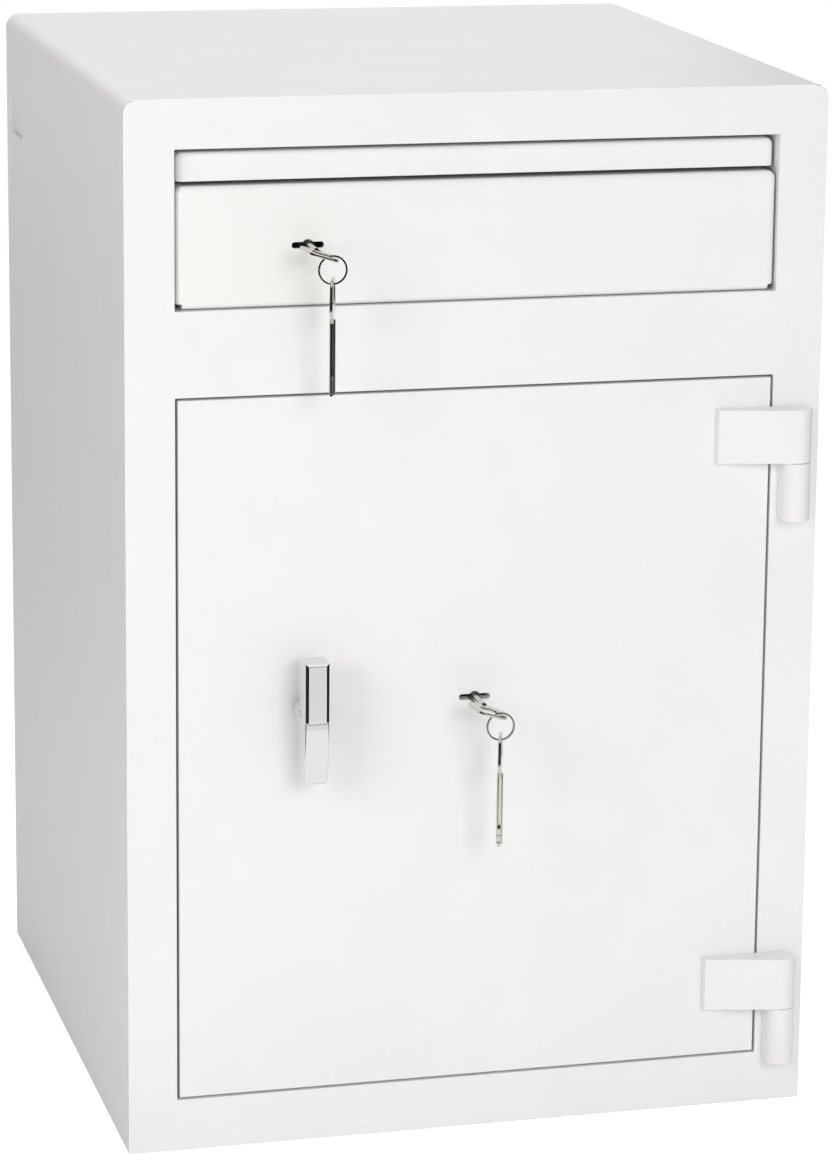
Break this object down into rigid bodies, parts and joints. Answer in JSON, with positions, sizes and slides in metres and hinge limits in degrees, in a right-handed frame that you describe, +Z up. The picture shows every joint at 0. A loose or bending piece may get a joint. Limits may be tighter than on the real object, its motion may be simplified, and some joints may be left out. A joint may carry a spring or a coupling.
{
  "type": "deposit safe",
  "caption": "Floor-standing sheet-steel deposit safe with a key-locked deposit drawer above a key-locked, bolted door with a lever handle.",
  "frame": {"origin": "centre of the cabinet's base, on the surface it stands on", "axes": "+X to the right seen from the front, +Y from the door to the back, +Z up"},
  "size_m": [0.5, 0.5587, 0.75],
  "materials": {
    "white_paint": "semi-gloss white powder coat with a fine texture",
    "zinc_plated_sheet": "zinc-plated sheet",
    "bright_steel": "turned bright steel",
    "chrome_plate": "polished chrome plate",
    "nickel_plate": "nickel plate",
    "black_nylon": "moulded nylon"
  },
  "bodies": {
    "cabinet": {"cabinet_shell": "white_paint", "side_slot_cap": "white_paint", "back_panel": "white_paint", "base_plate": "white_paint", "front_frame": "white_paint", "divider_plate": "zinc_plated_sheet", "drop_duct": "zinc_plated_sheet", "anti_fishing_baffle": "zinc_plated_sheet", "header_strip": "white_paint", "slide_rail_left": "zinc_plated_sheet", "slide_rail_right": "zinc_plated_sheet", "flap_ramp_left": "zinc_plated_sheet", "flap_ramp_right": "zinc_plated_sheet", "hinge_barrel_upper": "white_paint", "hinge_barrel_lower": "white_paint"},
    "door": {"door_plate": "white_paint", "door_inner_frame": "white_paint", "boltwork_cover": "white_paint", "cover_screw_1": "bright_steel", "cover_screw_2": "bright_steel", "cover_screw_3": "bright_steel", "cover_screw_4": "bright_steel", "hinge_strap_upper": "white_paint", "hinge_strap_lower": "white_paint", "hinge_pin_upper": "bright_steel", "hinge_pin_lower": "bright_steel", "dog_bolt_upper": "bright_steel", "dog_bolt_lower": "bright_steel", "bolt_guide": "zinc_plated_sheet", "door_lock_case": "zinc_plated_sheet", "door_lock_cover": "zinc_plated_sheet"},
    "handle": {"door_handle": "chrome_plate", "handle_spindle": "bright_steel", "spindle_clip": "bright_steel", "bolt_cam": "zinc_plated_sheet"},
    "boltwork": {"bolt_bar": "zinc_plated_sheet", "lock_arm": "zinc_plated_sheet", "cam_follower": "bright_steel", "locking_bolt_top": "bright_steel", "locking_bolt_middle": "bright_steel", "locking_bolt_bottom": "bright_steel"},
    "door_deadbolt": {"door_lock_bolt": "bright_steel"},
    "door_turning_key": {"door_key": "nickel_plate"},
    "door_ring": {"door_key_ring": "nickel_plate"},
    "door_hanging_key": {"door_spare_key": "nickel_plate"},
    "drawer": {"drawer_front": "white_paint", "drawer_tray": "zinc_plated_sheet", "flap_pin": "bright_steel", "slide_runner_left": "zinc_plated_sheet", "slide_runner_right": "zinc_plated_sheet", "drawer_lock_case": "zinc_plated_sheet", "drawer_lock_cover": "zinc_plated_sheet"},
    "flap": {"drawer_flap": "zinc_plated_sheet", "flap_glide_left": "black_nylon", "flap_glide_right": "black_nylon"},
    "drawer_deadbolt": {"drawer_lock_bolt": "bright_steel"},
    "drawer_turning_key": {"drawer_key": "nickel_plate"},
    "drawer_ring": {"drawer_key_ring": "nickel_plate"},
    "drawer_hanging_key": {"drawer_spare_key": "nickel_plate"}
  },
  "joints": [
    {"name": "door_swing", "type": "hinge", "parent": "cabinet", "child": "door", "pos_m": [0.2304, -0.2605, 0.3], "axis": [0, 0, 1], "range_deg": [0, 175]},
    {"name": "handle_turn", "type": "hinge", "parent": "door", "child": "handle", "pos_m": [-0.1234, -0.25, 0.321], "axis": [0, 1, 0], "range_deg": [0, 90]},
    {"name": "bolts_throw", "type": "slide", "parent": "door", "child": "boltwork", "axis": [-1, 0, 0], "range_m": [0, 0.022]},
    {"name": "door_key_turn", "type": "hinge", "parent": "door", "child": "door_turning_key", "pos_m": [-0.001, -0.25, 0.3212], "axis": [0, 1, 0], "range_deg": [-17.5, 162.5]},
    {"name": "door_deadbolt_drop", "type": "slide", "parent": "door", "child": "door_deadbolt", "axis": [0, 0, -1], "range_m": [-0.0016, 0.014]},
    {"name": "door_ring_swing", "type": "hinge", "parent": "door_turning_key", "child": "door_ring", "pos_m": [0.00601, -0.295, 0.32014], "axis": [0, -1, 0], "range_deg": [-5, 40]},
    {"name": "door_spare_swing", "type": "hinge", "parent": "door_ring", "child": "door_hanging_key", "pos_m": [0.00601, -0.295, 0.30184], "axis": [1, 0, 0], "range_deg": [-60, 20]},
    {"name": "drawer_slide", "type": "slide", "parent": "cabinet", "child": "drawer", "axis": [0, -1, 0], "range_m": [0, 0.22]},
    {"name": "flap_lift", "type": "hinge", "parent": "drawer", "child": "flap", "pos_m": [0, -0.192, 0.631], "axis": [1, 0, 0], "range_deg": [0, 24]},
    {"name": "drawer_key_turn", "type": "hinge", "parent": "drawer", "child": "drawer_turning_key", "pos_m": [-0.1223, -0.248, 0.6475], "axis": [0, 1, 0], "range_deg": [-17.5, 162.5]},
    {"name": "drawer_deadbolt_drop", "type": "slide", "parent": "drawer", "child": "drawer_deadbolt", "axis": [0, 0, -1], "range_m": [-0.0016, 0.014]},
    {"name": "drawer_ring_swing", "type": "hinge", "parent": "drawer_turning_key", "child": "drawer_ring", "pos_m": [-0.11529, -0.293, 0.64644], "axis": [0, -1, 0], "range_deg": [-5, 40]},
    {"name": "drawer_spare_swing", "type": "hinge", "parent": "drawer_ring", "child": "drawer_hanging_key", "pos_m": [-0.11529, -0.293, 0.62814], "axis": [1, 0, 0], "range_deg": [-60, 16]}
  ],
  "couplings": [
    {"joint": "bolts_throw", "follows": "handle_turn", "m_per_rad": 0.014006},
    {"joint": "door_deadbolt_drop", "follows": "door_key_turn", "m_per_rad": 0.0049362},
    {"joint": "flap_lift", "follows": "drawer_slide", "rad_per_m": 1.904},
    {"joint": "drawer_deadbolt_drop", "follows": "drawer_key_turn", "m_per_rad": 0.0049362}
  ]
}
